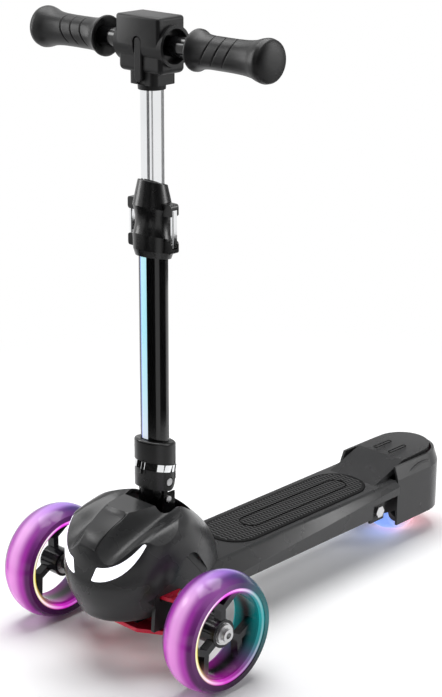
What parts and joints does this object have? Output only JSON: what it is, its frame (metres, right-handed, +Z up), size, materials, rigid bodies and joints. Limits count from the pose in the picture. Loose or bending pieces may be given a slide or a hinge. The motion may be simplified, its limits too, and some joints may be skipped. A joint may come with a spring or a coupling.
{
  "type": "kick scooter",
  "caption": "Folding lean-to-steer kick scooter with lit front wheels and lamps, telescopic handlebar, low deck with grip pad, and a fender brake over the rear wheel.",
  "frame": {"origin": "middle of the footprint on the floor", "axes": "+Z up, the scooter faces -Y, +X is the rider's left"},
  "size_m": [0.3, 0.535, 0.627],
  "materials": {
    "body_plastic": "fine grained dark grey",
    "grip_pad_rubber": "waved tread",
    "red_steel": "gloss red powder coat",
    "frame_casting": "black powder coat",
    "zinc_steel": "zinc plated",
    "bright_bolt": "turned bright",
    "chrome_tube": "polished",
    "gloss_black_steel": "gloss black",
    "black_plastic": "satin black",
    "trim_ring": "gloss grey",
    "grip_rubber": "soft matt",
    "buffer_rubber": "moulded",
    "lamp_lens": "clear white lamp cover",
    "lamp_reflector": "white reflector tray",
    "strip_light": "glowing light guide",
    "ring_light": "glowing light guide",
    "cast_tyre": "cloudy cast polyurethane",
    "wheel_plastic": "gloss black",
    "bearing_steel": "ground steel",
    "rear_rubber": "matt black",
    "bush_plastic": "natural nylon"
  },
  "bodies": {
    "chassis": {"deck_shell": "body_plastic", "grip_pad": "grip_pad_rubber", "truck_lower_plate": "red_steel", "truck_upper_plate": "red_steel", "front_frame": "frame_casting", "kingpins": "zinc_steel", "frame_hardware": "zinc_steel", "lean_buffers": "buffer_rubber", "nose_cover": "body_plastic", "hood_panel": "body_plastic", "headlamp_left": "lamp_lens", "headlamp_right": "lamp_lens", "lamp_trays": "lamp_reflector", "side_cover_left": "body_plastic", "side_cover_right": "body_plastic", "rear_fork": "frame_casting", "rear_axle": "zinc_steel", "axle_hardware": "zinc_steel", "brake_pivot_bolt": "zinc_steel"},
    "steering_post": {"steering_post": "gloss_black_steel", "hinge_bracket": "gloss_black_steel", "bracket_rivet": "zinc_steel", "post_ring": "trim_ring"},
    "knuckle_left": {"knuckle_left": "frame_casting", "axle_bolt_left": "bright_bolt"},
    "knuckle_right": {"knuckle_right": "frame_casting", "axle_bolt_right": "bright_bolt"},
    "tie_rod": {"tie_rod": "frame_casting"},
    "wheel_left": {"tyre_left": "cast_tyre", "wheel_core_left": "wheel_plastic", "light_ring_left": "ring_light", "wheel_bearings_left": "bearing_steel"},
    "wheel_right": {"tyre_right": "cast_tyre", "wheel_core_right": "wheel_plastic", "light_ring_right": "ring_light", "wheel_bearings_right": "bearing_steel"},
    "wheel_rear": {"rear_tyre": "rear_rubber", "rear_core": "wheel_plastic", "rear_bearings": "bearing_steel"},
    "brake": {"brake_fender": "body_plastic", "brake_pad": "rear_rubber"},
    "stem_lower": {"fold_collar": "black_plastic", "fold_pin": "zinc_steel", "latch_band": "chrome_tube", "latch_pin": "zinc_steel", "lower_tube": "gloss_black_steel", "light_strip": "strip_light", "clamp_collar": "black_plastic", "clamp_sleeve": "bush_plastic"},
    "fold_latch": {"fold_latch": "chrome_tube"},
    "squeeze_left": {"squeeze_bar_left": "chrome_tube"},
    "squeeze_right": {"squeeze_bar_right": "chrome_tube"},
    "stem_upper": {"upper_tube": "chrome_tube", "guide_bush": "bush_plastic", "head_block": "black_plastic", "handlebar": "gloss_black_steel", "grip_left": "grip_rubber", "grip_right": "grip_rubber", "lever_pin": "zinc_steel"},
    "release_lever": {"release_lever": "black_plastic"}
  },
  "joints": [
    {"name": "stem_lean", "type": "hinge", "parent": "chassis", "child": "steering_post", "pos_m": [0, -0.16775, 0.09], "axis": [0, 1, 0], "range_deg": [-10, 10], "stiffness_Nm_per_rad": 90, "deforming": ["lean_buffers"]},
    {"name": "steer_left", "type": "hinge", "parent": "chassis", "child": "knuckle_left", "pos_m": [0.074, -0.19975, 0.06], "axis": [0, 0, 1], "range_deg": [-10.5, 10.5]},
    {"name": "steer_right", "type": "hinge", "parent": "chassis", "child": "knuckle_right", "pos_m": [-0.074, -0.19975, 0.06], "axis": [0, 0, 1], "range_deg": [-10.5, 10.5]},
    {"name": "tie_rod_shift", "type": "slide", "parent": "chassis", "child": "tie_rod", "axis": [1, 0, 0], "range_m": [-0.0059, 0.0059]},
    {"name": "wheel_left_spin", "type": "hinge", "parent": "knuckle_left", "child": "wheel_left", "pos_m": [0.114, -0.19975, 0.06], "axis": [1, 0, 0], "continuous": true},
    {"name": "wheel_right_spin", "type": "hinge", "parent": "knuckle_right", "child": "wheel_right", "pos_m": [-0.114, -0.19975, 0.06], "axis": [1, 0, 0], "continuous": true},
    {"name": "wheel_rear_spin", "type": "hinge", "parent": "chassis", "child": "wheel_rear", "pos_m": [0, 0.21325, 0.04], "axis": [1, 0, 0], "continuous": true},
    {"name": "brake_press", "type": "hinge", "parent": "chassis", "child": "brake", "pos_m": [0, 0.13725, 0.054], "axis": [-1, 0, 0], "range_deg": [0, 3.4], "stiffness_Nm_per_rad": 6, "springref_deg": -11.46},
    {"name": "fold", "type": "hinge", "parent": "steering_post", "child": "stem_lower", "pos_m": [0, -0.16775, 0.1754], "axis": [-1, 0, 0], "range_deg": [0, 90]},
    {"name": "latch_open", "type": "hinge", "parent": "stem_lower", "child": "fold_latch", "pos_m": [0.00337, -0.18637, 0.19378], "axis": [0, -0.2241, -0.9746], "range_deg": [0, 70]},
    {"name": "squeeze_left_press", "type": "slide", "parent": "stem_lower", "child": "squeeze_left", "axis": [-1, 0, 0], "range_m": [0, 0.0025], "stiffness_N_per_m": 800, "springref_m": -0.002},
    {"name": "squeeze_right_press", "type": "slide", "parent": "stem_lower", "child": "squeeze_right", "axis": [1, 0, 0], "range_m": [0, 0.0025], "stiffness_N_per_m": 800, "springref_m": -0.002},
    {"name": "height", "type": "slide", "parent": "stem_lower", "child": "stem_upper", "axis": [0, 0, 1], "range_m": [-0.075, 0.09]},
    {"name": "lever_pull", "type": "hinge", "parent": "stem_upper", "child": "release_lever", "pos_m": [0, -0.18305, 0.6032], "axis": [-1, 0, 0], "range_deg": [0, 10], "stiffness_Nm_per_rad": 0.4, "springref_deg": -8.59}
  ],
  "couplings": [
    {"joint": "steer_left", "follows": "stem_lean", "ratio": 1},
    {"joint": "steer_right", "follows": "stem_lean", "ratio": 1},
    {"joint": "tie_rod_shift", "follows": "stem_lean", "m_per_rad": -0.032}
  ]
}
